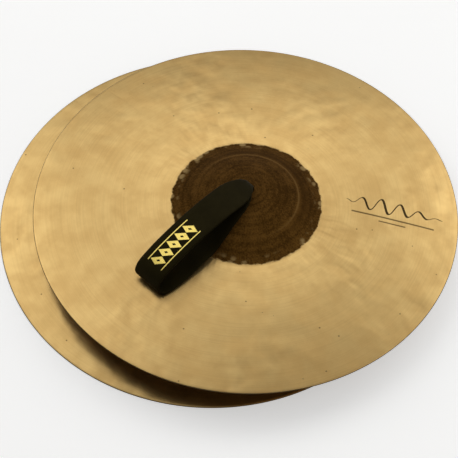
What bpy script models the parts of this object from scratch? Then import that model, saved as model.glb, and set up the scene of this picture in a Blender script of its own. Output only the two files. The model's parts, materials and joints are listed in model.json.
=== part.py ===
"""A pair of orchestral hand cymbals, laid one on the other with their bells up.

Each cymbal is a bronze plate with a raised bell and a centre hole, and a leather hand strap. The
strap is a folded loop whose ends are slit into four tails. The tails go down through the hole and
are tied inside the bell in a knot of two woven tiers. The upper cymbal's knot sits on the lower
cymbal's strap, which holds the upper plate up and a little askew.

Units are metres, +Z is up, and the origin is the centre of the pair's footprint on the table.
"""

import math

import bmesh
import bpy
from mathutils import Euler, Matrix, Vector

MM = 0.001

# Plates: a 406 mm (16 inch) cymbal.
RIM_RADIUS = 203.2 * MM
HOLE_RADIUS = 6.35 * MM
BELL_RADIUS = 72.0 * MM
BELL_RISE = 20.7 * MM
BELL_ROUNDNESS = 2.69
BELL_FLARE = 1.6
BOW_RISE = 17.3 * MM
THICKNESS_AT_HOLE = 1.4 * MM
THICKNESS_AT_RIM = 0.8 * MM
RIM_LAND = 1.4 * MM
RIM_ROUND = 0.3 * MM
PLATE_SEGMENTS = 60
BELL_RINGS = 8
BOW_RINGS = 4

# How the upper plate lies on the lower one.
UPPER_SHIFT = Vector((25.6 * MM, 21.8 * MM, 27.4 * MM))
UPPER_TILT = Euler((math.radians(-1.455), math.radians(-0.939), 0.0))

# Straps: leather bands, each a loop reaching 132 mm out from the hole.
LEATHER = 2.7 * MM
STRAP_WIDTH = 31.0 * MM
NECK_WIDTH = 18.0 * MM
NECK_LENGTH = 24.0 * MM
STRAP_REACH = 132.0 * MM
HINGE_RISE = 3.4 * MM
REST_GAP = 0.5 * MM
FOLD_GAP = 0.6 * MM
STRAP_STEPS = 48
CURVE_PARTS = 24
UPPER_STRAP_AZIMUTH = math.radians(272.0)
LOWER_STRAP_AZIMUTH = math.atan2(UPPER_SHIFT.y, UPPER_SHIFT.x)

# Tails and knots: four tails per strap, pinched in the hole and full width in the knot.
TAIL_COUNT = 4
TAIL_WIDTH_IN_HOLE = 5.0 * MM
TAIL_WIDTH = 6.0 * MM
TAIL_THICKNESS = 2.2 * MM
TAIL_RING = 2.65 * MM
TAIL_OFFSET = 1.25 * MM
TAIL_TOP = -0.3 * MM
TAIL_SPREAD = 3.2 * MM
KNOT_LANE = 4.6 * MM
KNOT_REACH = 9.6 * MM
KNOT_PITCH = 4.2 * MM
TAIL_STEPS = 64
STEPS_IN_HOLE = 3
STEPS_TO_KNOT = 16
LEAST_LEVEL_RUN = 0.3

# Looks.
BRONZE_COLOR = (0.58, 0.40, 0.17, 1.0)
LEATHER_COLOR = (0.012, 0.011, 0.010, 1.0)
PLATE_SHARP_ANGLE = math.radians(35.0)
STRIP_SHARP_ANGLE = math.radians(50.0)


def clear_scene():
    """Remove every object that the file starts with."""
    for obj in list(bpy.data.objects):
        bpy.data.objects.remove(obj, do_unlink=True)


def make_material(name, color, metallic, roughness):
    """A Principled material of one colour."""
    material = bpy.data.materials.new(name)
    material.use_nodes = True
    shader = material.node_tree.nodes["Principled BSDF"]
    shader.inputs["Base Color"].default_value = color
    shader.inputs["Metallic"].default_value = metallic
    shader.inputs["Roughness"].default_value = roughness
    return material


def bronze():
    """Hammered and lathed bronze of the plates."""
    return make_material("bronze", BRONZE_COLOR, 1.0, 0.38)


def leather():
    """Black smooth leather of the straps."""
    return make_material("leather", LEATHER_COLOR, 0.0, 0.55)


def make_frame(name, location, rotation, parent=None):
    """An empty that holds a joint's place: its Z is the cymbal's axis, its X points along the strap."""
    empty = bpy.data.objects.new(name, None)
    empty.empty_display_size = 0.02
    empty.location = location
    empty.rotation_euler = rotation
    empty.parent = parent
    bpy.context.scene.collection.objects.link(empty)
    return empty


def add_object(name, mesh_builder, material, parent, sharp_angle):
    """Turn a finished bmesh into a smooth-shaded object under its parent frame."""
    bmesh.ops.recalc_face_normals(mesh_builder, faces=mesh_builder.faces)
    mesh = bpy.data.meshes.new(name)
    mesh_builder.to_mesh(mesh)
    mesh_builder.free()
    mesh.materials.append(material)
    mesh.shade_smooth()
    mesh.set_sharp_from_angle(angle=sharp_angle)
    obj = bpy.data.objects.new(name, mesh)
    obj.parent = parent
    bpy.context.scene.collection.objects.link(obj)
    return obj


# ---------------------------------------------------------------------------------------- plates


def plate_top(radius):
    """Height of the plate's upper surface above the rim's underside."""
    bow = BOW_RISE * (1.0 - (radius / RIM_RADIUS) ** 2)
    inside = min(radius / BELL_RADIUS, 1.0)
    bell = BELL_RISE * (1.0 - inside**BELL_ROUNDNESS) ** BELL_FLARE
    return THICKNESS_AT_RIM + bow + bell


def plate_underside(radius):
    """Height of the lower surface, a plate's thickness below the upper one along the normal."""
    step = 0.01 * MM
    slope = (plate_top(radius + step) - plate_top(radius - step)) / (2.0 * step)
    taper = radius / RIM_RADIUS
    thickness = THICKNESS_AT_HOLE + (THICKNESS_AT_RIM - THICKNESS_AT_HOLE) * taper
    return plate_top(radius) - thickness * math.hypot(1.0, slope)


def plate_radii():
    """Radii of the rings: close together over the bell, wide apart over the shallow bow."""
    bell_step = (BELL_RADIUS - HOLE_RADIUS) / BELL_RINGS
    bell = [HOLE_RADIUS + bell_step * ring for ring in range(BELL_RINGS)]
    bow_end = RIM_RADIUS - RIM_LAND
    bow_step = (bow_end - BELL_RADIUS) / BOW_RINGS
    return bell + [BELL_RADIUS + bow_step * ring for ring in range(BOW_RINGS + 1)]


def plate_profile():
    """Closed outline of the plate's section, as (radius, height), with a flat land under the rim."""
    radii = plate_radii()
    top = [(radius, plate_top(radius)) for radius in radii]
    under = [(radius, plate_underside(radius)) for radius in radii[:-1]]
    rim = [
        (RIM_RADIUS - RIM_ROUND, THICKNESS_AT_RIM),
        (RIM_RADIUS, THICKNESS_AT_RIM - RIM_ROUND),
        (RIM_RADIUS, RIM_ROUND / 2.0),
        (RIM_RADIUS - RIM_ROUND / 2.0, 0.0),
        (RIM_RADIUS - RIM_LAND, 0.0),
    ]
    return top + rim + under[::-1]


def make_plate(name, material, parent):
    """Spin the plate's section round the cymbal's axis."""
    builder = bmesh.new()
    corners = [builder.verts.new((radius, 0.0, height)) for radius, height in plate_profile()]
    outline = [builder.edges.new((a, b)) for a, b in zip(corners, corners[1:] + corners[:1])]
    bmesh.ops.spin(
        builder,
        geom=corners + outline,
        cent=(0.0, 0.0, 0.0),
        axis=(0.0, 0.0, 1.0),
        angle=math.tau,
        steps=PLATE_SEGMENTS,
        use_merge=True,
    )
    bmesh.ops.remove_doubles(builder, verts=builder.verts, dist=0.001 * MM)
    return add_object(name, builder, material, parent, PLATE_SHARP_ANGLE)


# ---------------------------------------------------------------------------------------- leather


def smooth_curve(points, steps):
    """Evenly spaced points on a smooth curve (Catmull-Rom) through the route's own points."""
    knots = [2.0 * points[0] - points[1]] + points + [2.0 * points[-1] - points[-2]]
    fine = []
    for a, b, c, d in zip(knots, knots[1:], knots[2:], knots[3:]):
        for part in range(CURVE_PARTS):
            t = part / CURVE_PARTS
            bend = 2.0 * a - 5.0 * b + 4.0 * c - d
            twist = 3.0 * b - a - 3.0 * c + d
            fine.append(0.5 * (2.0 * b + (c - a) * t + bend * t * t + twist * t**3))
    fine.append(points[-1])
    lengths = [0.0]
    for a, b in zip(fine, fine[1:]):
        lengths.append(lengths[-1] + (b - a).length)
    even = []
    place = 0
    for step in range(steps + 1):
        target = lengths[-1] * step / steps
        while place < len(fine) - 2 and lengths[place + 1] < target:
            place += 1
        share = (target - lengths[place]) / (lengths[place + 1] - lengths[place])
        even.append(fine[place].lerp(fine[place + 1], share))
    return even


def strip_section(centre, across, normal, width, thickness):
    """Four corners of a strip's section."""
    half_width = width / 2.0
    half_thickness = thickness / 2.0
    outline = [
        (half_width, half_thickness),
        (-half_width, half_thickness),
        (-half_width, -half_thickness),
        (half_width, -half_thickness),
    ]
    return [centre + across * x + normal * y for x, y in outline]


def sweep_strip(stations):
    """A closed strip through the stations, each (centre, across, normal, width, thickness)."""
    builder = bmesh.new()
    rings = []
    for station in stations:
        rings.append([builder.verts.new(corner) for corner in strip_section(*station)])
    for ring, following in zip(rings, rings[1:]):
        for side in range(len(ring)):
            after = (side + 1) % len(ring)
            builder.faces.new((ring[side], ring[after], following[after], following[side]))
    builder.faces.new(rings[0][::-1])
    builder.faces.new(rings[-1])
    return builder


def strap_width(distance):
    """Full width of the band, tapering to the neck over the last stretch before the hole."""
    share = min(max(distance / NECK_LENGTH, 0.0), 1.0)
    return NECK_WIDTH + (STRAP_WIDTH - NECK_WIDTH) * share


def hinge_height():
    """Height of the fold's axis above the rim plane, just over the mouth of the hole."""
    return plate_top(HOLE_RADIUS) + HINGE_RISE


def lying_height(distance):
    """Height of the middle of a layer of leather that lies on the plate."""
    return plate_top(distance) + REST_GAP + LEATHER / 2.0


def open_loop_route():
    """The upper loop's middle line, as (distance, sideways, height): over the top, round, and back.

    The lower layer lies a little to one side of the upper one, as a limp band does.
    """
    reach = STRAP_REACH - LEATHER / 2.0
    crest = hinge_height() + 5.2 * MM
    end_height = lying_height(reach)
    over = [
        (-1.0 * MM, 0.0, hinge_height() + 0.2 * MM),
        (0.8 * MM, 0.0, hinge_height() + 1.9 * MM),
        (0.09 * reach, 0.0, crest - 0.9 * MM),
        (0.25 * reach, 0.0, crest),
        (0.40 * reach, 0.0, crest - 0.8 * MM),
        (0.60 * reach, 0.0, crest - 4.0 * MM),
        (0.77 * reach, 0.0, crest - 9.6 * MM),
        (0.885 * reach, 0.0, crest - 15.0 * MM),
    ]
    bend = [
        (0.955 * reach, 0.0, end_height + 14.8 * MM),
        (0.99 * reach, 0.5 * MM, end_height + 9.8 * MM),
        (reach, 1.8 * MM, end_height + 5.4 * MM),
        (0.985 * reach, 5.0 * MM, end_height + 1.6 * MM),
        (0.945 * reach, 7.2 * MM, lying_height(0.945 * reach)),
    ]
    shares = (0.80, 0.62, 0.50, 0.39, 0.26, 0.12)
    sides = (9.0, 9.0, 8.0, 6.5, 4.0, 1.5)
    lifts = (0.5, 3.2, 2.0, 0.3, 0.0, 0.1)
    back = [
        (share * reach, side * MM, lying_height(share * reach) + lift * MM)
        for share, side, lift in zip(shares, sides, lifts)
    ]
    end = [(3.0 * MM, 0.0, lying_height(3.0 * MM) + 0.1 * MM)]
    return over + bend + back + end


def flat_loop_route():
    """The lower loop's middle line, as (distance, sideways, height): two layers pressed flat."""
    reach = STRAP_REACH - LEATHER / 2.0
    layer = LEATHER + FOLD_GAP
    shares = (0.12, 0.20, 0.28, 0.36, 0.45, 0.55, 0.66, 0.80, 0.90)
    lifts = (0.1, 0.1, 0.1, 0.2, 0.7, 2.0, 1.6, 0.2, 0.1)
    under = [
        (share * reach, 0.0, lying_height(share * reach) + lift * MM)
        for share, lift in zip(shares, lifts)
    ]
    over = [(distance, side, height + layer) for distance, side, height in under]
    end_height = lying_height(reach)
    bend = [
        (0.955 * reach, 0.0, end_height + layer + 2.0 * MM),
        (0.99 * reach, 0.0, end_height + layer + 0.4 * MM),
        (reach, 0.0, end_height + 2.4 * MM),
        (0.985 * reach, 0.0, end_height + 0.4 * MM),
    ]
    start = [
        (-1.0 * MM, 0.0, hinge_height() + 0.2 * MM),
        (1.0 * MM, 0.0, hinge_height() + 1.3 * MM),
    ]
    end = [(3.0 * MM, 0.0, lying_height(3.0 * MM) + 0.1 * MM)]
    return start + over + bend + under[::-1] + end


def make_strap_loop(name, route, material, parent):
    """Sweep the band along its middle line. The mesh's origin is on the fold's axis."""
    rise = hinge_height()
    points = [Vector((distance, side, height - rise)) for distance, side, height in route]
    middle = smooth_curve(points, STRAP_STEPS)
    across = Vector((0.0, 1.0, 0.0))
    stations = []
    for index, point in enumerate(middle):
        before = middle[max(index - 1, 0)]
        after = middle[min(index + 1, STRAP_STEPS)]
        normal = across.cross(after - before).normalized()
        stations.append((point, across, normal, strap_width(point.x), LEATHER))
    return add_object(name, sweep_strip(stations), material, parent, STRIP_SHARP_ANGLE)


# ------------------------------------------------------------------------------------------ knots


def knot_level(tier):
    """Depth of a layer of the knot below the bell's underside."""
    return -(2.6 * MM + KNOT_PITCH * tier)


def tail_route():
    """One tail's middle line, as (outward, sideways, height over the bell's underside).

    It comes down the hole, turns out under the bell, folds back over its neighbour's end, dips
    under the next neighbour, and does the same again one tier lower, the other way.
    """
    top = plate_top(HOLE_RADIUS) - plate_underside(HOLE_RADIUS) + TAIL_TOP
    lane = KNOT_LANE
    reach = KNOT_REACH
    step = 0.36 * KNOT_LANE
    down_and_out = [
        (TAIL_RING, TAIL_OFFSET, top),
        (TAIL_RING, TAIL_OFFSET, 0.0),
        (TAIL_RING + 0.8 * MM, TAIL_OFFSET + 0.15 * MM, -1.5 * MM),
        (0.62 * reach, 0.55 * lane, knot_level(0)),
        (0.92 * reach, 0.93 * lane, knot_level(0.05)),
    ]
    first_tier = [
        (1.22 * reach, lane, knot_level(0.6)),
        (1.22 * reach, lane, knot_level(1.4)),
        (0.92 * reach, lane, knot_level(1.95)),
        (lane, lane, knot_level(2.0)),
        (step, lane, knot_level(1.93)),
        (-step, lane, knot_level(1.07)),
        (-lane, lane, knot_level(1.0)),
        (-0.92 * reach, lane, knot_level(1.1)),
    ]
    second_tier = [
        (-1.24 * reach, lane, knot_level(1.9)),
        (-1.24 * reach, lane, knot_level(3.2)),
        (-0.92 * reach, lane, knot_level(3.93)),
        (-lane, lane, knot_level(4.0)),
        (-step, lane, knot_level(3.93)),
        (step, lane, knot_level(3.07)),
        (lane, lane, knot_level(3.0)),
        (reach, lane, knot_level(3.0)),
        (1.5 * reach, lane, knot_level(3.2)),
    ]
    return down_and_out + first_tier + second_tier


def make_tail(name, turn, material, parent):
    """One of a strap's four tails, a quarter turn from the next."""
    spin = Matrix.Rotation(turn, 3, "Z")
    route = [Vector((out, -side, height)) for out, side, height in tail_route()]
    middle = smooth_curve(route, TAIL_STEPS)
    across = Vector((0.0, 1.0, 0.0))
    bell_underside = Vector((0.0, 0.0, plate_underside(HOLE_RADIUS)))
    stations = []
    for index, point in enumerate(middle):
        before = middle[max(index - 1, 0)]
        after = middle[min(index + 1, TAIL_STEPS)]
        along = (after - before).normalized()
        across = (across - along * across.dot(along)).normalized()
        level_across = Vector((along.y, -along.x, 0.0))
        if index > STEPS_IN_HOLE and level_across.length > LEAST_LEVEL_RUN:
            side = level_across.normalized()
            across = side if side.dot(across) > 0.0 else -side
        normal = across.cross(along)
        spread = min(max((point.xy.length - TAIL_RING) / TAIL_SPREAD, 0.0), 1.0)
        spread = 1.0 if index > STEPS_TO_KNOT else spread
        width = TAIL_WIDTH_IN_HOLE + (TAIL_WIDTH - TAIL_WIDTH_IN_HOLE) * spread
        place = spin @ point + bell_underside
        stations.append((place, spin @ across, spin @ normal, width, TAIL_THICKNESS))
    return add_object(name, sweep_strip(stations), material, parent, STRIP_SHARP_ANGLE)


# ---------------------------------------------------------------------------------------- cymbals


def make_cymbal(side, frame, azimuth, route, metal, hide):
    """One cymbal: its plate, its strap's four tails, and the loop, each on its own joint's frame."""
    make_plate(f"{side}_plate", metal, frame)
    swivel = make_frame(f"{side}_strap_swivel", Vector(), Euler((0.0, 0.0, azimuth)), frame)
    for index in range(TAIL_COUNT):
        turn = math.tau * index / TAIL_COUNT
        make_tail(f"{side}_tail_{index + 1}", turn, hide, swivel)
    hinge_place = Vector((0.0, 0.0, hinge_height()))
    hinge = make_frame(f"{side}_strap_fold", hinge_place, Euler(), swivel)
    make_strap_loop(f"{side}_strap_loop", route, hide, hinge)


def main():
    clear_scene()
    metal = bronze()
    hide = leather()
    footprint_centre = UPPER_SHIFT.xy.to_3d() / 2.0
    lower = make_frame("lower_cymbal", -footprint_centre, Euler())
    upper = make_frame("upper_cymbal", UPPER_SHIFT - footprint_centre, UPPER_TILT)
    make_cymbal("lower", lower, LOWER_STRAP_AZIMUTH, flat_loop_route(), metal, hide)
    make_cymbal("upper", upper, UPPER_STRAP_AZIMUTH, open_loop_route(), metal, hide)


main()
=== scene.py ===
"""The looks of a pair of hand cymbals: bronze plates, leather straps, floor, light and camera."""

import json
import math

import bpy
import numpy as np
from mathutils import Matrix, Vector, noise


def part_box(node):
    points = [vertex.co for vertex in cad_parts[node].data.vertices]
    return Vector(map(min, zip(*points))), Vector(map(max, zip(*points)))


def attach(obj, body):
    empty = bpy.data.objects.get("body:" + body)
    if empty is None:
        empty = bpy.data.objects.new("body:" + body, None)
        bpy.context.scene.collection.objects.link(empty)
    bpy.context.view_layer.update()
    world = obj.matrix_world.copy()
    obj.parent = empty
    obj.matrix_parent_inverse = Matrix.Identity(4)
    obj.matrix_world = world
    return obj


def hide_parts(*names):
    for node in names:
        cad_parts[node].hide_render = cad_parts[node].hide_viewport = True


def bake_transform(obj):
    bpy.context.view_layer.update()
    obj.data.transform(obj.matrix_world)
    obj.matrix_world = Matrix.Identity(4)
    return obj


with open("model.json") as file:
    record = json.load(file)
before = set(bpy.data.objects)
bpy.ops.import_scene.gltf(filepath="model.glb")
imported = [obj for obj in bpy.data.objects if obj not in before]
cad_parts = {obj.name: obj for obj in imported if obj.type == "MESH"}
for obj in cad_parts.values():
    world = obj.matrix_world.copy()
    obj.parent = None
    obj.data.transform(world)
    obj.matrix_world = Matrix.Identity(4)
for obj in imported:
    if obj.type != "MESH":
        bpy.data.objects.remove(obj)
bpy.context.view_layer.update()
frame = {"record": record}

MM = 0.001

# ------------------------------------------------------------------------------- shared dimensions

LOWER_LOW, LOWER_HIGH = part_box("lower_plate")
RIM_RADIUS = (LOWER_HIGH[0] - LOWER_LOW[0]) / 2.0
LOWER_AXIS = Vector(((LOWER_HIGH[0] + LOWER_LOW[0]) / 2.0, (LOWER_HIGH[1] + LOWER_LOW[1]) / 2.0, 0.0))
JOINTS = {joint["name"]: joint for joint in frame["record"]["behaviour"]["joints"]}
UPPER_HINGE = Vector(JOINTS["upper_strap_fold"]["pos_m"])
UPPER_NORMAL = Vector(JOINTS["upper_strap_swivel"]["axis"])
UPPER_FOLD_AXIS = Vector(JOINTS["upper_strap_fold"]["axis"])
LOWER_FOLD_AXIS = Vector(JOINTS["lower_strap_fold"]["axis"])

HOLE_RADIUS = 6.35 * MM
BELL_RADIUS = 72.0 * MM
BELL_RISE = 20.7 * MM
BELL_ROUNDNESS = 2.69
BELL_FLARE = 1.6
BOW_RISE = 17.3 * MM
THICKNESS_AT_HOLE = 1.4 * MM
THICKNESS_AT_RIM = 0.8 * MM
LEATHER = 2.7 * MM
LEATHER_EASE = 0.75 * MM
STRAP_WIDTH = 31.0 * MM
STRAP_REACH = 132.0 * MM
HINGE_RISE = 3.4 * MM
REST_GAP = 0.5 * MM
FOLD_GAP = 0.6 * MM


def frame_matrix(origin, out, up):
    """A frame at origin whose X is out, whose Z is up, and whose Y is across."""
    across = up.cross(out).normalized()
    matrix = Matrix((out, across, up)).transposed().to_4x4()
    matrix.translation = origin
    return matrix


def plate_top(radius):
    """Height of a plate's upper surface over its rim's underside."""
    bow = BOW_RISE * (1.0 - (radius / RIM_RADIUS) ** 2)
    inside = np.minimum(radius / BELL_RADIUS, 1.0)
    bell = BELL_RISE * (1.0 - inside**BELL_ROUNDNESS) ** BELL_FLARE
    return THICKNESS_AT_RIM + bow + bell


def plate_underside(radius):
    """Height of a plate's lower surface, its thickness below the upper one along the normal."""
    step = 0.01 * MM
    slope = (plate_top(radius + step) - plate_top(radius - step)) / (2.0 * step)
    thickness = THICKNESS_AT_HOLE + (THICKNESS_AT_RIM - THICKNESS_AT_HOLE) * radius / RIM_RADIUS
    return plate_top(radius) - thickness * np.hypot(1.0, slope)


HINGE_HEIGHT = float(plate_top(HOLE_RADIUS)) + HINGE_RISE
UP = Vector((0.0, 0.0, 1.0))
LOWER_OUT = UP.cross(LOWER_FOLD_AXIS).normalized()
UPPER_OUT = UPPER_NORMAL.cross(UPPER_FOLD_AXIS).normalized()
LOWER_STRAP_FRAME = frame_matrix(LOWER_AXIS, LOWER_OUT, UP)
UPPER_STRAP_FRAME = frame_matrix(UPPER_HINGE - UPPER_NORMAL * HINGE_HEIGHT, UPPER_OUT, UPPER_NORMAL)
LOWER_PLATE_FRAME = Matrix.Translation(LOWER_AXIS)
UPPER_TILT = UP.rotation_difference(UPPER_NORMAL).to_matrix().to_4x4()
UPPER_PLATE_FRAME = Matrix.Translation(UPPER_STRAP_FRAME.translation) @ UPPER_TILT

# ------------------------------------------------------------------------------------ node helpers


class Nodes:
    """A short way to write a material's node tree."""

    def __init__(self, name):
        self.material = bpy.data.materials.new(name)
        self.material.use_nodes = True
        self.tree = self.material.node_tree
        self.shader = self.tree.nodes["Principled BSDF"]

    def put(self, target, value):
        if isinstance(value, bpy.types.NodeSocket):
            self.tree.links.new(value, target)
        else:
            target.default_value = value

    def math(self, operation, *values, clamp=False):
        node = self.tree.nodes.new("ShaderNodeMath")
        node.operation = operation
        node.use_clamp = clamp
        for socket, value in zip(node.inputs, values):
            self.put(socket, value)
        return node.outputs[0]

    def product(self, *values):
        total = values[0]
        for value in values[1:]:
            total = self.math("MULTIPLY", total, value)
        return total

    def add(self, first, second):
        return self.math("ADD", first, second)

    def subtract(self, first, second, clamp=False):
        return self.math("SUBTRACT", first, second, clamp=clamp)

    def length(self, x, y):
        return self.math("SQRT", self.add(self.product(x, x), self.product(y, y)))

    def noise(self, vector, scale, detail=3.0, roughness=0.5):
        node = self.tree.nodes.new("ShaderNodeTexNoise")
        self.put(node.inputs["Vector"], vector)
        self.put(node.inputs["Scale"], scale)
        self.put(node.inputs["Detail"], detail)
        self.put(node.inputs["Roughness"], roughness)
        return node.outputs["Fac"]

    def voronoi(self, vector, scale, output="Distance"):
        node = self.tree.nodes.new("ShaderNodeTexVoronoi")
        self.put(node.inputs["Vector"], vector)
        self.put(node.inputs["Scale"], scale)
        return node.outputs[output]

    def ramp(self, value, low, high, to_low=0.0, to_high=1.0):
        node = self.tree.nodes.new("ShaderNodeMapRange")
        node.interpolation_type = "SMOOTHSTEP"
        self.put(node.inputs["Value"], value)
        limits = {"From Min": low, "From Max": high, "To Min": to_low, "To Max": to_high}
        for name, number in limits.items():
            self.put(node.inputs[name], number)
        return node.outputs["Result"]

    def mix(self, share, first, second, blend="MIX"):
        node = self.tree.nodes.new("ShaderNodeMix")
        node.data_type = "RGBA"
        node.blend_type = blend
        self.put(node.inputs["Factor"], share)
        self.put(node.inputs["A"], first)
        self.put(node.inputs["B"], second)
        return node.outputs["Result"]

    def combine(self, x, y, z):
        node = self.tree.nodes.new("ShaderNodeCombineXYZ")
        for socket, value in zip(node.inputs, (x, y, z)):
            self.put(socket, value)
        return node.outputs[0]

    def separate(self, vector):
        node = self.tree.nodes.new("ShaderNodeSeparateXYZ")
        self.put(node.inputs[0], vector)
        return node.outputs

    def place(self, output="Object"):
        return self.tree.nodes.new("ShaderNodeTexCoord").outputs[output]

    def bump(self, height, strength, distance, normal=None):
        node = self.tree.nodes.new("ShaderNodeBump")
        self.put(node.inputs["Height"], height)
        self.put(node.inputs["Strength"], strength)
        self.put(node.inputs["Distance"], distance)
        if normal is not None:
            self.put(node.inputs["Normal"], normal)
        return node.outputs["Normal"]

    def tangent_round_z(self):
        node = self.tree.nodes.new("ShaderNodeTangent")
        node.direction_type = "RADIAL"
        node.axis = "Z"
        return node.outputs[0]

    def set(self, name, value):
        self.put(self.shader.inputs[name], value)


# ------------------------------------------------------------------------------- bronze and leather

GOLD_LIGHT = (0.80, 0.55, 0.217, 1.0)
GOLD_DARK = (0.72, 0.47, 0.175, 1.0)
GOLD_LINE = (0.55, 0.335, 0.115, 1.0)
PATINA_LIGHT = (0.128, 0.060, 0.0130, 1.0)
PATINA_DARK = (0.050, 0.022, 0.0040, 1.0)
# Painted highlight: a lighter brown for a thin ring on the bell's far side.
HIGHLIGHT_RING_COLOR = (0.24, 0.135, 0.045, 1.0)
BARE_COLOR = (0.50, 0.34, 0.14, 1.0)
# Painted shade: darker bronze for faces that turn downwards, the underside and the rim's side.
UNDERSIDE_SHADE_LIGHT = (0.30, 0.19, 0.075, 1.0)
UNDERSIDE_SHADE_DARK = (0.19, 0.11, 0.042, 1.0)
# Painted light: a gain that brightens the bell's patina on its side towards the camera.
CAMERA_SIDE_LIGHT_GAIN = (1.45, 1.45, 1.30, 1.0)
# Painted shade: a dark line along the outermost rim.
RIM_SHADE_COLOR = (0.05, 0.028, 0.010, 1.0)
PIT_COLOR = (0.09, 0.05, 0.02, 1.0)
INK_COLOR = (0.030, 0.018, 0.008, 1.0)
FOIL_COLOR = (1.0, 0.78, 0.20, 1.0)
LEATHER_LIGHT = (0.0128, 0.0097, 0.0023, 1.0)
LEATHER_DARK = (0.0080, 0.0060, 0.0013, 1.0)
LEATHER_EDGE = (0.0040, 0.0030, 0.0008, 1.0)

# The bell's brown patch, and the turning lines and pits (cells a metre) of the bright bronze.
PATCH_RADIUS = 71.5 * MM
PATCH_SOFTNESS = 0.8 * MM
# Radii of the bell's painted highlight ring and painted shade band.
HIGHLIGHT_RING_RADIUS = 49.3 * MM
SHADE_BAND_RADIUS = 55.0 * MM
FINE_LINES = 980.0
BROAD_LINES = 240.0
PIT_CELLS = 110.0

# The printed ornament on the upper plate, and its rules as (drop, half length, half width).
FLOURISH_RADIUS = 141.0 * MM
FLOURISH_HALF = 47.0 * MM
FLOURISH_SLANT = math.radians(9.0)
FLOURISH_TURN = math.radians(0.3)
WAVE_LENGTH = 18.5 * MM
INK_SOFTNESS = 0.3 * MM
FLOURISH_RULES = ((8.2 * MM, 40.0 * MM, 0.85 * MM), (13.4 * MM, 13.0 * MM, 0.7 * MM))

# The gilt ornament on the upper strap: its middle along the strap, its half length and half width.
FOIL_PLACE = (105.0 * MM, 26.0 * MM, 8.8 * MM)
FOIL_LOZENGES = 5.0


def polar(nodes):
    """(x, y, radius, angle) of a point on a plate, about its axis."""
    x, y, _ = nodes.separate(nodes.place())
    return x, y, nodes.length(x, y), nodes.math("ARCTAN2", y, x)


def lathe_lines(nodes, radius, angle, place):
    """Height of the fine turning grooves, uneven as the cutter leaves them: long thin arcs."""
    wander = nodes.product(nodes.noise(place, 18.0, 2.0), 2.4 * MM)
    across = nodes.add(radius, wander)
    around = nodes.product(angle, 1.6)
    fine = nodes.noise(nodes.combine(nodes.product(across, FINE_LINES), around, 0.0), 1.0, 2.0, 0.6)
    broad = nodes.noise(nodes.combine(nodes.product(across, BROAD_LINES), around, 7.0), 1.0, 2.0, 0.5)
    return nodes.add(nodes.product(fine, 0.85), nodes.product(broad, 0.15))


def stroke(nodes, offset, half_width, softness):
    """1 inside a drawn stroke, 0 outside it: offset is the distance from its middle line."""
    distance = nodes.math("ABSOLUTE", offset)
    return nodes.ramp(nodes.subtract(distance, half_width), -softness, softness, 1.0, 0.0)


def flourish(nodes, x, y, azimuth, centre_radius):
    """A generic printed ornament: a pen flourish of dwindling waves over two thin rules."""
    turn = azimuth - FLOURISH_SLANT
    cosine, sine = math.cos(turn), math.sin(turn)
    east = nodes.subtract(x, centre_radius * math.cos(azimuth))
    north = nodes.subtract(y, centre_radius * math.sin(azimuth))
    along = nodes.add(nodes.product(east, cosine), nodes.product(north, sine))
    up = nodes.subtract(nodes.product(north, cosine), nodes.product(east, sine))
    reach = nodes.math("DIVIDE", nodes.math("ABSOLUTE", along), FLOURISH_HALF)
    fade = nodes.subtract(1.0, nodes.product(reach, reach), clamp=True)
    phase = nodes.product(along, math.tau / WAVE_LENGTH)
    height = nodes.product(fade, nodes.ramp(along, -FLOURISH_HALF, FLOURISH_HALF, 10.0 * MM, 4.4 * MM))
    wave = nodes.product(nodes.math("SINE", phase), height)
    rate = nodes.math("COSINE", phase)
    slope = nodes.product(rate, height, math.tau / WAVE_LENGTH)
    steepness = nodes.math("SQRT", nodes.add(1.0, nodes.product(slope, slope)))
    pen = nodes.ramp(rate, -0.5, 0.5, 1.25 * MM, 0.55 * MM)
    width = nodes.product(pen, steepness, nodes.math("SQRT", fade))
    rise = nodes.subtract(up, nodes.add(wave, 4.5 * MM))
    inside = nodes.math("GREATER_THAN", fade, 0.0)
    inked = nodes.product(stroke(nodes, rise, width, INK_SOFTNESS), inside)
    for drop, half_rule, half_width in FLOURISH_RULES:
        line = stroke(nodes, nodes.add(up, drop), half_width, INK_SOFTNESS)
        ends = stroke(nodes, along, half_rule, 0.6 * MM)
        inked = nodes.math("MAXIMUM", inked, nodes.product(line, ends, 0.8))
    return inked


def lathed_gold(nodes, shifted, lines, clouds, worked, dents):
    """Colour of the bright bronze: cloudy gold, turning lines, hammered hollows and a few pits."""
    gold = nodes.mix(nodes.ramp(clouds, 0.3, 0.7), GOLD_DARK, GOLD_LIGHT)
    gold = nodes.mix(nodes.ramp(lines, 0.32, 0.60, 0.22, 0.0), gold, GOLD_LINE)
    hollows = nodes.product(worked, nodes.ramp(dents, 0.36, 0.52, 0.22, 0.0))
    gold = nodes.mix(hollows, gold, GOLD_LINE)
    distance = nodes.voronoi(shifted, PIT_CELLS)
    chosen = nodes.voronoi(shifted, PIT_CELLS, "Color")
    rare = nodes.math("GREATER_THAN", nodes.separate(chosen)[0], 0.88)
    pit = nodes.product(nodes.ramp(distance, 0.05, 0.12, 1.0, 0.0), rare)
    return nodes.mix(nodes.product(pit, 0.7), gold, PIT_COLOR)


def bell_patch(nodes, shifted, radius, angle, seed):
    """1 on the unlathed bell, 0 outside it, with a ragged and slightly scalloped edge."""
    ragged = nodes.noise(shifted, 150.0, 4.0, 0.65)
    scallop = nodes.noise(nodes.combine(nodes.product(angle, 9.0), seed, 0.0), 1.3, 1.0)
    edge = nodes.add(radius, nodes.product(nodes.subtract(ragged, 0.5), 5.2 * MM))
    edge = nodes.add(edge, nodes.product(nodes.subtract(scallop, 0.5), 2.2 * MM))
    return nodes.ramp(edge, PATCH_RADIUS - PATCH_SOFTNESS, PATCH_RADIUS + PATCH_SOFTNESS, 1.0, 0.0)


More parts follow.
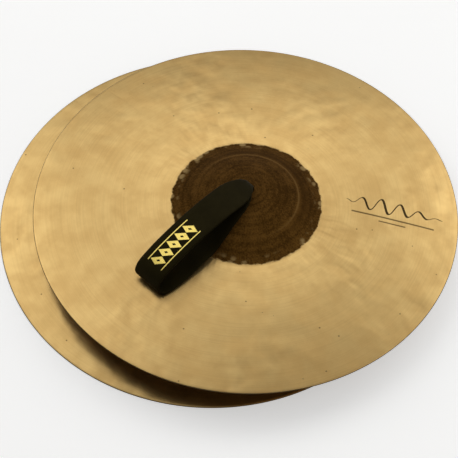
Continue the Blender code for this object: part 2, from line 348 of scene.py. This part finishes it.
def bell_patina(nodes, shifted, x, y, radius, seed, soot, clouds):
    """Colour of the unlathed bell: brown and speckled, with bare nicks at its edge, a painted highlight
    ring and a painted shade band on its far side, and painted light towards the camera.
    """
    rings = nodes.noise(nodes.combine(radius, seed, 0.0), 170.0, 2.0, 0.5)
    speck = nodes.noise(shifted, 650.0, 2.0, 0.6)
    grime = nodes.add(nodes.product(rings, 0.28), nodes.product(soot, 0.32))
    grime = nodes.add(grime, nodes.product(speck, 0.40))
    patina = nodes.mix(nodes.ramp(grime, 0.39, 0.62), PATINA_DARK, PATINA_LIGHT)
    # Mask of the bell's far side, where a highlight ring and a shade band are painted.
    painted_light_side = nodes.ramp(y, -25.0 * MM, 40.0 * MM, 0.06, 1.0)
    # Painted highlight: a thin lighter ring on the bell's far side.
    highlight_ring = stroke(nodes, nodes.subtract(radius, HIGHLIGHT_RING_RADIUS), 0.6 * MM, 0.8 * MM)
    patina = nodes.mix(nodes.product(highlight_ring, painted_light_side, 0.55), patina, HIGHLIGHT_RING_COLOR)
    # Painted shade: a darker band on the bell's far side.
    shade_band = stroke(nodes, nodes.subtract(radius, SHADE_BAND_RADIUS), 3.0 * MM, 3.0 * MM)
    patina = nodes.mix(nodes.product(shade_band, painted_light_side, 0.65), patina, PATINA_DARK)
    # Painted light: the patina is brightened towards the camera side.
    front_x, front_y = math.sin(VIEW_TURN), -math.cos(VIEW_TURN)
    forward = nodes.add(nodes.product(x, front_x), nodes.product(y, front_y))
    patina = nodes.mix(nodes.ramp(forward, -30.0 * MM, 60.0 * MM), patina, CAMERA_SIDE_LIGHT_GAIN, "MULTIPLY")
    nicks = nodes.ramp(nodes.voronoi(shifted, 120.0), 0.25, 0.5, 1.0, 0.0)
    near_edge = nodes.ramp(radius, 63.0 * MM, 69.0 * MM)
    bare = nodes.product(nicks, near_edge, nodes.ramp(clouds, 0.40, 0.50))
    return nodes.mix(nodes.product(bare, 0.7), patina, BARE_COLOR)


def bronze(name, seed, ornament_azimuth=None):
    """Hand hammered, lathed bronze, with an unlathed brown bell that has a ragged edge, and painted
    shade on faces that turn downwards and along the rim.
    """
    nodes = Nodes(name)
    x, y, radius, angle = polar(nodes)
    shifted = nodes.combine(nodes.add(x, seed), y, nodes.product(radius, 0.3))
    lines = lathe_lines(nodes, radius, angle, shifted)
    worked = nodes.ramp(nodes.noise(shifted, 9.0, 2.0), 0.42, 0.62, 0.25, 1.0)
    stretched = nodes.combine(nodes.product(angle, 0.13), nodes.product(radius, 0.62), seed)
    dents = nodes.noise(stretched, 85.0, 1.0, 0.4)
    clouds = nodes.noise(shifted, 42.0, 4.0, 0.6)
    soot = nodes.noise(shifted, 60.0, 5.0, 0.62)
    patch = bell_patch(nodes, shifted, radius, angle, seed)
    gold = lathed_gold(nodes, shifted, lines, clouds, worked, dents)
    patina = bell_patina(nodes, shifted, x, y, radius, seed, soot, clouds)
    color = nodes.mix(patch, gold, patina)
    if ornament_azimuth is not None:
        inked = flourish(nodes, x, y, ornament_azimuth, FLOURISH_RADIUS)
        color = nodes.mix(nodes.product(inked, 0.96), color, INK_COLOR)
    # Painted shade: faces that turn downwards are darkened.
    facing = nodes.separate(nodes.place("Normal"))[2]
    underside_shade = nodes.ramp(facing, 0.1, 0.7, 1.0, 0.0)
    color = nodes.mix(underside_shade, color, nodes.mix(nodes.ramp(clouds, 0.3, 0.7), UNDERSIDE_SHADE_DARK, UNDERSIDE_SHADE_LIGHT))
    # Painted shade: a thin dark line along the rim's outermost edge.
    rim = nodes.ramp(radius, RIM_RADIUS - 0.6 * MM, RIM_RADIUS - 0.3 * MM)
    nodes.set("Base Color", nodes.mix(nodes.product(rim, 0.9), color, RIM_SHADE_COLOR))
    nodes.set("Metallic", nodes.ramp(patch, 0.0, 1.0, 1.0, 0.10))
    satin = nodes.ramp(clouds, 0.3, 0.7, 0.36, 0.31)
    nodes.set("Roughness", nodes.add(satin, nodes.product(patch, 0.32)))
    nodes.set("IOR", 1.08)
    nodes.set("Specular IOR Level", 0.3)
    nodes.set("Anisotropic", 0.55)
    nodes.set("Tangent", nodes.tangent_round_z())
    hammered = nodes.bump(nodes.product(dents, worked), 0.65, 1.15 * MM)
    grooved = nodes.bump(lines, nodes.ramp(patch, 0.0, 1.0, 0.15, 0.08), 0.10 * MM, hammered)
    nodes.set("Normal", nodes.bump(nodes.product(soot, patch), 0.35, 0.35 * MM, grooved))
    return nodes.material


def leather(name, seed, foil=None):
    """Black strap leather: fine grain, a soft sheen on the face and drier cut edges."""
    nodes = Nodes(name)
    length, across, _ = nodes.separate(nodes.place("UV"))
    grain_place = nodes.combine(length, across, seed)
    grain = nodes.voronoi(grain_place, 1400.0)
    wrinkle = nodes.noise(grain_place, 260.0, 4.0, 0.6)
    tone = nodes.noise(grain_place, 45.0, 3.0, 0.5)
    color = nodes.mix(nodes.ramp(tone, 0.3, 0.7), LEATHER_DARK, LEATHER_LIGHT)
    edge = nodes.ramp(nodes.math("ABSOLUTE", across), 14.2 * MM, 15.0 * MM)
    color = nodes.mix(nodes.product(edge, 0.6), color, LEATHER_EDGE)
    rough = nodes.ramp(wrinkle, 0.3, 0.7, 0.50, 0.62)
    metal = 0.0
    if foil is not None:
        metal = foil_mark(nodes, length, across, *foil)
        color = nodes.mix(metal, color, FOIL_COLOR)
        rough = nodes.subtract(rough, nodes.product(metal, 0.28))
    nodes.set("Base Color", color)
    nodes.set("Metallic", metal)
    nodes.set("Roughness", rough)
    nodes.set("Specular IOR Level", 0.12)
    nodes.set("Specular Tint", (1.0, 0.80, 0.30, 1.0))
    normal = nodes.bump(grain, 0.22, 0.10 * MM)
    nodes.set("Normal", nodes.bump(wrinkle, 0.25, 0.25 * MM, normal))
    return nodes.material


def foil_mark(nodes, length, across, centre, half_length, half_width):
    """A generic gilt ornament: a row of five slanted lozenges between two fine lines."""
    pitch = 2.0 * half_length / FOIL_LOZENGES
    shifted = nodes.subtract(length, centre - half_length)
    cell = nodes.subtract(nodes.math("FLOORED_MODULO", shifted, pitch), pitch / 2.0)
    slant = nodes.add(cell, nodes.product(across, 0.35))
    span = nodes.math("DIVIDE", nodes.math("ABSOLUTE", slant), pitch * 0.47)
    reach = nodes.math("DIVIDE", nodes.math("ABSOLUTE", across), half_width * 0.86)
    lozenge = nodes.ramp(nodes.add(span, reach), 0.94, 1.06, 1.0, 0.0)
    eye = nodes.ramp(nodes.add(span, reach), 0.22, 0.30)
    rule_offset = nodes.subtract(nodes.math("ABSOLUTE", across), half_width)
    rules = stroke(nodes, rule_offset, 0.5 * MM, 0.12 * MM)
    inside = stroke(nodes, nodes.subtract(length, centre), half_length, 0.2 * MM)
    return nodes.product(nodes.math("MAXIMUM", nodes.product(lozenge, eye), rules), inside)


# ------------------------------------------------------------------------------------------ plates

PLATE_SEGMENTS = 300
PLATE_RINGS = 100
EDGE_ROUND = 0.4 * MM
HAMMER_MARKS = 420
MARK_PLACES = (0.02, 0.93)  # shares of the plate's area, from the middle out
MARK_SIZES = (4.0, 9.0)  # mm
MARK_DEPTHS = (0.02, 0.09)  # mm


def hammer_field(x, y, seed):
    """Depth of the hammer marks over a plate: many shallow round dents, none near the rim's edge."""
    source = np.random.default_rng(seed)
    depth = np.zeros_like(x)
    radius = np.hypot(x, y)
    for _ in range(HAMMER_MARKS):
        distance = math.sqrt(source.uniform(*MARK_PLACES)) * RIM_RADIUS
        turn = source.uniform(0.0, math.tau)
        size = source.uniform(*MARK_SIZES) * MM
        sink = source.uniform(*MARK_DEPTHS) * MM
        gap = ((x - distance * math.cos(turn)) ** 2 + (y - distance * math.sin(turn)) ** 2) / size**2
        depth += sink * np.exp(-gap)
    fade = np.clip((RIM_RADIUS - radius) / (12.0 * MM), 0.0, 1.0)
    return depth * fade * np.clip((radius - HOLE_RADIUS) / (6.0 * MM), 0.0, 1.0)


def make_plate(name, place, seed, material):
    """A fine spun plate with a rounded rim and hole, hammered all over."""
    share = np.linspace(0.0, 1.0, PLATE_RINGS)
    inner, outer = HOLE_RADIUS + EDGE_ROUND, RIM_RADIUS - EDGE_ROUND
    radii = inner + (outer - inner) * share
    rim_middle = THICKNESS_AT_RIM / 2.0
    rim = [(RIM_RADIUS - EDGE_ROUND * (1.0 - math.cos(a)), rim_middle + rim_middle * math.sin(a))
           for a in np.radians((54.0, 18.0, -18.0, -54.0))]
    lip_high, lip_low = float(plate_top(HOLE_RADIUS)), float(plate_underside(HOLE_RADIUS))
    lip_middle, lip_half = (lip_high + lip_low) / 2.0, (lip_high - lip_low) / 2.0
    lip = [(HOLE_RADIUS + EDGE_ROUND * (1.0 - math.cos(a)), lip_middle + lip_half * math.sin(a))
           for a in np.radians((-54.0, -18.0, 18.0, 54.0))]
    under = np.maximum(plate_underside(radii), 0.0)
    ring_radius = np.concatenate([radii, [r for r, _ in rim], radii[::-1], [r for r, _ in lip]])
    ring_height = np.concatenate([plate_top(radii), [z for _, z in rim],
                                  under[::-1], [z for _, z in lip]])
    angles = np.arange(PLATE_SEGMENTS) * math.tau / PLATE_SEGMENTS
    x = ring_radius[:, None] * np.cos(angles)
    y = ring_radius[:, None] * np.sin(angles)
    z = ring_height[:, None] - hammer_field(x, y, seed)
    points = np.stack([x, y, z], axis=-1).reshape(-1, 3)
    rings = len(ring_radius)
    row = np.arange(rings)[:, None]
    column = np.arange(PLATE_SEGMENTS)[None, :]
    after_row, after_column = (row + 1) % rings, (column + 1) % PLATE_SEGMENTS
    corners = [row * PLATE_SEGMENTS + column, after_row * PLATE_SEGMENTS + column,
               after_row * PLATE_SEGMENTS + after_column, row * PLATE_SEGMENTS + after_column]
    faces = np.stack(np.broadcast_arrays(*corners), axis=-1).reshape(-1, 4)
    mesh = bpy.data.meshes.new(name)
    mesh.from_pydata(points.tolist(), [], faces.tolist())
    mesh.materials.append(material)
    mesh.shade_smooth()
    plate = bpy.data.objects.new(name, mesh)
    plate.matrix_world = place
    bpy.context.scene.collection.objects.link(plate)
    return plate


# ------------------------------------------------------------------------------------------ straps

# The strap's width narrows towards the hole: STRAP_TAPER at the distances STRAP_TAPER_AT from it.
CURVE_PARTS = 24
LOOP_STEPS = 260
STRAP_TAPER_AT = (-3.0 * MM, -1.0 * MM, 2.0 * MM, 8.0 * MM, 13.5 * MM, 20.5 * MM)
STRAP_TAPER = (9.0 * MM, 13.0 * MM, 19.0 * MM, 24.5 * MM, 28.5 * MM, STRAP_WIDTH)
GATHERED_WIDTH = 9.6 * MM


def smooth_curve(points, steps):
    """Evenly spaced points on a smooth curve (Catmull-Rom) through the route's own points."""
    knots = [2.0 * points[0] - points[1]] + points + [2.0 * points[-1] - points[-2]]
    fine = []
    for a, b, c, d in zip(knots, knots[1:], knots[2:], knots[3:]):
        for part in range(CURVE_PARTS):
            t = part / CURVE_PARTS
            bend = 2.0 * a - 5.0 * b + 4.0 * c - d
            twist = 3.0 * b - a - 3.0 * c + d
            fine.append(0.5 * (2.0 * b + (c - a) * t + bend * t * t + twist * t**3))
    fine.append(points[-1])
    lengths = np.concatenate([[0.0], np.cumsum([(b - a).length for a, b in zip(fine, fine[1:])])])
    targets = np.linspace(0.0, lengths[-1], steps + 1)
    table = np.array([list(point) for point in fine])
    even = [np.interp(targets, lengths, table[:, axis]) for axis in range(3)]
    return [Vector(point) for point in zip(*even)], targets


def section_outline(width, thickness, ease, side_points=7, corner_points=4):
    """Outline of a strip's section with rounded long edges, as (across, through) pairs."""
    half_width, half_thickness = width / 2.0, thickness / 2.0
    outline = []
    for sign_x, sign_y, start in ((1, 1, 0.0), (-1, 1, 90.0), (-1, -1, 180.0), (1, -1, 270.0)):
        for corner in range(corner_points):
            turn = math.radians(start + 90.0 * corner / (corner_points - 1))
            outline.append((sign_x * (half_width - ease) + ease * math.cos(turn),
                            sign_y * (half_thickness - ease) + ease * math.sin(turn)))
        if sign_y == sign_x:
            for step in range(1, side_points):
                share = 1.0 - 2.0 * step / side_points
                outline.append((sign_y * share * (half_width - ease), sign_y * half_thickness))
    return outline


def sweep_strip(name, stations, distances, material):
    """A closed strip through the stations, with a UV map of metres along it and across it."""
    points, faces, across_of = [], [], []
    rings = [section_outline(width, thickness, ease) for _, _, _, width, thickness, ease in stations]
    count = len(rings[0])
    for (centre, across, normal, _, _, _), ring in zip(stations, rings):
        points += [centre + across * x + normal * y for x, y in ring]
        across_of += [x for x, _ in ring]
    for station in range(len(stations) - 1):
        for corner in range(count):
            after = (corner + 1) % count
            low, high = station * count, (station + 1) * count
            faces.append((low + corner, low + after, high + after, high + corner))
    faces.append(tuple(reversed(range(count))))
    faces.append(tuple(range(len(points) - count, len(points))))
    mesh = bpy.data.meshes.new(name)
    mesh.from_pydata([tuple(point) for point in points], [], faces)
    layer = mesh.uv_layers.new(name="strip")
    for loop in mesh.loops:
        station = loop.vertex_index // count
        layer.data[loop.index].uv = (distances[station], across_of[loop.vertex_index])
    mesh.materials.append(material)
    mesh.shade_smooth()
    strip = bpy.data.objects.new(name, mesh)
    bpy.context.scene.collection.objects.link(strip)
    return strip


def strap_width(distance, height):
    """Width of the band: full, then cut to a blunt point over the hole, then gathered into the hole."""
    taper = np.interp(distance, STRAP_TAPER_AT, STRAP_TAPER)
    if distance > 5.0 * MM:
        return float(taper)
    gathered = np.interp(height, (-3.2 * MM, 0.5 * MM), (GATHERED_WIDTH, STRAP_WIDTH))
    return float(min(taper, gathered))


def lying_height(distance):
    """Height of the middle of a layer of leather that lies on the plate."""
    return float(plate_top(distance)) + REST_GAP + LEATHER / 2.0


def open_loop_route():
    """The upper loop's middle line, as (distance, sideways, height): over the top, round and back."""
    reach = STRAP_REACH - LEATHER / 2.0
    crest = HINGE_HEIGHT + 5.2 * MM
    end_height = lying_height(reach)
    start = [(-1.5 * MM, 0.0, HINGE_HEIGHT - 4.2 * MM), (-3.3 * MM, 0.0, HINGE_HEIGHT - 0.9 * MM)]
    drops = ((0.09, 0.9), (0.25, 0.0), (0.40, 0.8), (0.60, 4.0), (0.77, 9.6), (0.885, 15.0))
    over = [(-0.4 * MM, 0.0, HINGE_HEIGHT + 2.6 * MM)]
    over += [(share * reach, 0.0, crest - drop * MM) for share, drop in drops]
    bend = [(0.955 * reach, 0.0, end_height + 14.8 * MM),
            (0.99 * reach, 0.5 * MM, end_height + 9.8 * MM),
            (reach, 1.8 * MM, end_height + 5.4 * MM),
            (0.985 * reach, 5.0 * MM, end_height + 1.6 * MM),
            (0.945 * reach, 7.2 * MM, lying_height(0.945 * reach))]
    lies = ((0.80, 9.0, 0.5), (0.62, 9.0, 3.2), (0.50, 8.0, 2.0), (0.39, 6.5, 0.3), (0.26, 4.0, 0.0),
            (0.12, 1.5, 0.1))
    back = [(share * reach, side * MM, lying_height(share * reach) + lift * MM)
            for share, side, lift in lies]
    end = [(4.0 * MM, 0.0, lying_height(4.0 * MM) - 0.1 * MM), (1.9 * MM, 0.0, HINGE_HEIGHT - 2.6 * MM),
           (1.5 * MM, 0.0, HINGE_HEIGHT - 4.2 * MM)]
    return start + over + bend + back + end


def flat_loop_route():
    """The lower loop's middle line, as (distance, sideways, height): two layers pressed flat."""
    reach = STRAP_REACH - LEATHER / 2.0
    layer = LEATHER + FOLD_GAP
    lifts = ((0.12, 0.1), (0.20, 0.1), (0.28, 0.1), (0.36, 0.2), (0.45, 0.7), (0.55, 2.0), (0.66, 1.6),
             (0.80, 0.2), (0.90, 0.1))
    under = [(share * reach, 0.0, lying_height(share * reach) + lift * MM) for share, lift in lifts]
    over = [(distance, side, height + layer) for distance, side, height in under]
    end_height = lying_height(reach)
    bend = [(0.955 * reach, 0.0, end_height + layer + 2.0 * MM),
            (0.99 * reach, 0.0, end_height + layer + 0.4 * MM),
            (reach, 0.0, end_height + 2.4 * MM), (0.985 * reach, 0.0, end_height + 0.4 * MM)]
    start = [(-1.5 * MM, 0.0, HINGE_HEIGHT - 4.2 * MM), (-1.4 * MM, 0.0, HINGE_HEIGHT - 0.6 * MM),
             (1.2 * MM, 0.0, HINGE_HEIGHT + 1.3 * MM)]
    end = [(4.0 * MM, 0.0, lying_height(4.0 * MM) - 0.1 * MM), (1.9 * MM, 0.0, HINGE_HEIGHT - 2.6 * MM),
           (1.5 * MM, 0.0, HINGE_HEIGHT - 4.2 * MM)]
    return start + over + bend + under[::-1] + end


def make_loop(name, place, route, material, seed):
    """Sweep the band along its middle line, a little uneven as cut leather is."""
    middle, distances = smooth_curve([Vector(point) for point in route], LOOP_STEPS)
    across = Vector((0.0, 1.0, 0.0))
    stations = []
    for index, point in enumerate(middle):
        before, after = middle[max(index - 1, 0)], middle[min(index + 1, LOOP_STEPS)]
        normal = across.cross(after - before).normalized()
        waver = noise.noise(Vector((distances[index] * 40.0, seed, 0.0)))
        width = strap_width(point.x, point.z - HINGE_HEIGHT) + 0.25 * MM * waver
        shift = across * 0.2 * MM * noise.noise(Vector((distances[index] * 25.0, seed, 5.0)))
        stations.append((place @ (point + shift), place.to_3x3() @ across, place.to_3x3() @ normal,
                         width, LEATHER * 0.98, LEATHER_EASE))
    return sweep_strip(name, stations, distances, material)


# ------------------------------------------------------------------------------------------- knots

TAIL_WIDTH_IN_HOLE = 5.0 * MM
TAIL_WIDTH = 6.0 * MM
TAIL_THICKNESS = 2.2 * MM
TAIL_EASE = 0.6 * MM
TAIL_RING = 2.65 * MM
TAIL_OFFSET = 1.25 * MM
KNOT_LANE = 4.6 * MM
KNOT_REACH = 9.6 * MM
KNOT_PITCH = 4.2 * MM
TAIL_STEPS = 220


def knot_level(tier):
    """Depth of a layer of the knot below the bell's underside."""
    return -(2.6 * MM + KNOT_PITCH * tier)


def tail_route():
    """One tail's middle line: down the hole, out, and through the knot's two woven tiers."""
    lane, reach, step = KNOT_LANE, KNOT_REACH, 0.36 * KNOT_LANE
    start = [(TAIL_RING, TAIL_OFFSET, 0.4 * MM), (TAIL_RING, TAIL_OFFSET, 0.0),
             (TAIL_RING + 0.8 * MM, TAIL_OFFSET + 0.15 * MM, -1.5 * MM),
             (0.62 * reach, 0.55 * lane, knot_level(0)), (0.92 * reach, 0.93 * lane, knot_level(0.05))]
    first = [(1.22 * reach, 0.6), (1.22 * reach, 1.4), (0.92 * reach, 1.95), (lane, 2.0), (step, 1.93),
             (-step, 1.07), (-lane, 1.0), (-0.92 * reach, 1.1)]
    second = [(-1.24 * reach, 1.9), (-1.24 * reach, 3.2), (-0.92 * reach, 3.93), (-lane, 4.0),
              (-step, 3.93), (step, 3.07), (lane, 3.0), (reach, 3.0), (1.5 * reach, 3.2)]
    return start + [(out, lane, knot_level(tier)) for out, tier in first + second]


def make_tail(name, place, turn, material):
    """One of a strap's four tails, a quarter turn from the next."""
    underside = Matrix.Translation((0.0, 0.0, float(plate_underside(HOLE_RADIUS))))
    spin = place @ underside @ Matrix.Rotation(turn, 4, "Z")
    route = [Vector((out, -side, z)) for out, side, z in tail_route()]
    middle, distances = smooth_curve(route, TAIL_STEPS)
    across = Vector((0.0, 1.0, 0.0))
    stations = []
    for index, point in enumerate(middle):
        before, after = middle[max(index - 1, 0)], middle[min(index + 1, TAIL_STEPS)]
        along = (after - before).normalized()
        across = (across - along * across.dot(along)).normalized()
        level = Vector((along.y, -along.x, 0.0))
        if index > 10 and level.length > 0.3:
            side = level.normalized()
            side = side if side.dot(across) > 0.0 else -side
            across = across.lerp(side, 0.35).normalized()
        opened = min(max((point.xy.length - TAIL_RING) / (3.2 * MM), 0.0), 1.0)
        opened = 1.0 if index > TAIL_STEPS // 4 else opened
        width = TAIL_WIDTH_IN_HOLE + (TAIL_WIDTH - TAIL_WIDTH_IN_HOLE) * opened
        stations.append((spin @ point, spin.to_3x3() @ across, spin.to_3x3() @ across.cross(along),
                         width, TAIL_THICKNESS, TAIL_EASE))
    return sweep_strip(name, stations, distances, material)


def place_strap(side, place, route, material, seed):
    """A cymbal's strap: the loop, which stays where it is built, and the four knotted tails, which
    follow the knot.
    """
    loop = make_loop(f"{side}_hand_loop", place, route, material, seed)
    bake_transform(loop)
    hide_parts(f"{side}_strap_loop")
    for index in range(4):
        tail = make_tail(f"{side}_knot_tail_{index + 1}", place, math.tau * index / 4.0, material)
        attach(tail, f"{side}_knot")
        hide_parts(f"{side}_tail_{index + 1}")


# ------------------------------------------------------------------------- camera, floor and light

VIEW_TURN = math.radians(46.0)
CAMERA_FROM_LOWER_AXIS = Vector((0.9022, -0.8464, 1.8220))
CAMERA_ELEVATION = math.radians(55.913)
CAMERA_ROLL = math.radians(1.924)
CAMERA_LENS = 178.96

# Soft boxes: name, azimuth from straight behind the cymbals towards the right (degrees), elevation
# (degrees) and power (watts).
LIGHT_DISTANCE = 2.5
SOFTBOX_SIZE = 1.3
LIGHT_AIM_HEIGHT = 0.02
SOFTBOXES = (
    ("rear_right", 45.0, 38.0, 6.3),
    ("rear_left", -45.0, 38.0, 4.6),
    ("high_left", -60.0, 62.0, 3.4),
    ("rear", 0.0, 50.0, 4.3),
    ("right", 105.0, 50.0, 4.6),
)
WALL_DIM = 0.16
WALL_BRIGHT = 0.40
WALL_EDGE = (-0.25, 0.45)
FLOOR_GLOW = 0.48
GLOW_EDGE = (110.0 * MM, 175.0 * MM)
FLOOR_HALF = 30.0
FLOOR_DROP = 0.0003


def add_camera():
    """The camera stands in front, turned to the right of the strap, and looks down at 56 degrees."""
    forward = Vector((-math.sin(VIEW_TURN) * math.cos(CAMERA_ELEVATION),
                      math.cos(VIEW_TURN) * math.cos(CAMERA_ELEVATION), -math.sin(CAMERA_ELEVATION)))
    right = Vector((math.cos(VIEW_TURN), math.sin(VIEW_TURN), 0.0))
    up = right.cross(forward)
    rolled_right = right * math.cos(CAMERA_ROLL) + up * math.sin(CAMERA_ROLL)
    rolled_up = up * math.cos(CAMERA_ROLL) - right * math.sin(CAMERA_ROLL)
    matrix = Matrix((rolled_right, rolled_up, -forward)).transposed().to_4x4()
    matrix.translation = LOWER_AXIS + CAMERA_FROM_LOWER_AXIS
    data = bpy.data.cameras.new("camera")
    data.lens = CAMERA_LENS
    data.sensor_width = 36.0
    camera = bpy.data.objects.new("camera", data)
    camera.matrix_world = matrix
    bpy.context.scene.collection.objects.link(camera)
    bpy.context.scene.camera = camera


def seen_from_camera(x, y, z):
    """A place given as right, away and up from the camera's side, in the row frame."""
    return Matrix.Rotation(VIEW_TURN, 3, "Z") @ Vector((x, y, z))


def add_softbox(name, place, target, power):
    """A large square area light that faces the target."""
    data = bpy.data.lights.new(name, "AREA")
    data.shape = "SQUARE"
    data.size = SOFTBOX_SIZE
    data.energy = power
    light = bpy.data.objects.new(name, data)
    light.location = place
    light.rotation_euler = (target - place).to_track_quat("-Z", "Y").to_euler()
    bpy.context.scene.collection.objects.link(light)


def add_floor():
    """A plain pale floor that glows a little, except where the cymbals cover it."""
    nodes = Nodes("pale_floor")
    grain = nodes.noise(nodes.place(), 3.0, 2.0)
    nodes.set("Base Color", nodes.mix(grain, (0.86, 0.86, 0.855, 1.0), (0.89, 0.89, 0.885, 1.0)))
    nodes.set("Roughness", 0.9)
    nodes.set("Specular IOR Level", 0.1)
    nodes.set("Emission Color", (1.0, 1.0, 0.995, 1.0))
    x, y, _ = nodes.separate(nodes.place())
    reach = nodes.length(x, y)
    nodes.set("Emission Strength", nodes.ramp(reach, *GLOW_EDGE, 0.0, FLOOR_GLOW))
    mesh = bpy.data.meshes.new("floor")
    corners = [(x * FLOOR_HALF, y * FLOOR_HALF, 0.0) for x, y in ((-1, -1), (1, -1), (1, 1), (-1, 1))]
    mesh.from_pydata(corners, [], [(0, 1, 2, 3)])
    mesh.materials.append(nodes.material)
    floor = bpy.data.objects.new("floor", mesh)
    floor.location = (0.0, 0.0, -FLOOR_DROP)
    bpy.context.scene.collection.objects.link(floor)


def studio_world():
    """Pale studio walls, bright beyond the cymbals and dim on the camera's side."""
    world = bpy.data.worlds.new("studio")
    world.use_nodes = True
    tree = world.node_tree
    direction = tree.nodes.new("ShaderNodeTexCoord").outputs["Generated"]
    away = tree.nodes.new("ShaderNodeVectorMath")
    away.operation = "DOT_PRODUCT"
    away.inputs[1].default_value = seen_from_camera(0.0, 1.0, 0.0)
    tree.links.new(direction, away.inputs[0])
    spread = tree.nodes.new("ShaderNodeMapRange")
    spread.interpolation_type = "SMOOTHSTEP"
    limits = {"From Min": WALL_EDGE[0], "From Max": WALL_EDGE[1],
              "To Min": WALL_DIM, "To Max": WALL_BRIGHT}
    for name, number in limits.items():
        spread.inputs[name].default_value = number
    tree.links.new(away.outputs["Value"], spread.inputs["Value"])
    background = tree.nodes["Background"]
    background.inputs["Color"].default_value = (1.0, 0.99, 0.97, 1.0)
    tree.links.new(spread.outputs["Result"], background.inputs["Strength"])
    bpy.context.scene.world = world


def add_light():
    """Five soft boxes in a half ring behind and beside the cymbals, and pale walls."""
    for name, azimuth, elevation, power in SOFTBOXES:
        turn, rise = math.radians(azimuth), math.radians(elevation)
        flat = LIGHT_DISTANCE * math.cos(rise)
        height = LIGHT_DISTANCE * math.sin(rise)
        place = seen_from_camera(flat * math.sin(turn), flat * math.cos(turn), height)
        add_softbox(name, place, Vector((0.0, 0.0, LIGHT_AIM_HEIGHT)), power)
    studio_world()
    bpy.context.scene.view_settings.view_transform = "Standard"


def main():
    add_camera()
    add_floor()
    add_light()
    lower_plate = make_plate("lower_bronze_plate", LOWER_PLATE_FRAME, 11, bronze("lower_bronze", 4.0))
    upper_bronze = bronze("upper_bronze", 9.0, VIEW_TURN - FLOURISH_TURN)
    upper_plate = make_plate("upper_bronze_plate", UPPER_PLATE_FRAME, 23, upper_bronze)
    for side, plate in (("lower", lower_plate), ("upper", upper_plate)):
        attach(plate, f"{side}_cymbal")
        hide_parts(f"{side}_plate")
    lower_leather = leather("lower_leather", 2.0)
    place_strap("lower", LOWER_STRAP_FRAME, flat_loop_route(),
                lower_leather, 3.0)
    upper_leather = leather("upper_leather", 5.0, FOIL_PLACE)
    place_strap("upper", UPPER_STRAP_FRAME, open_loop_route(),
                upper_leather, 8.0)


main()
bpy.context.view_layer.update()
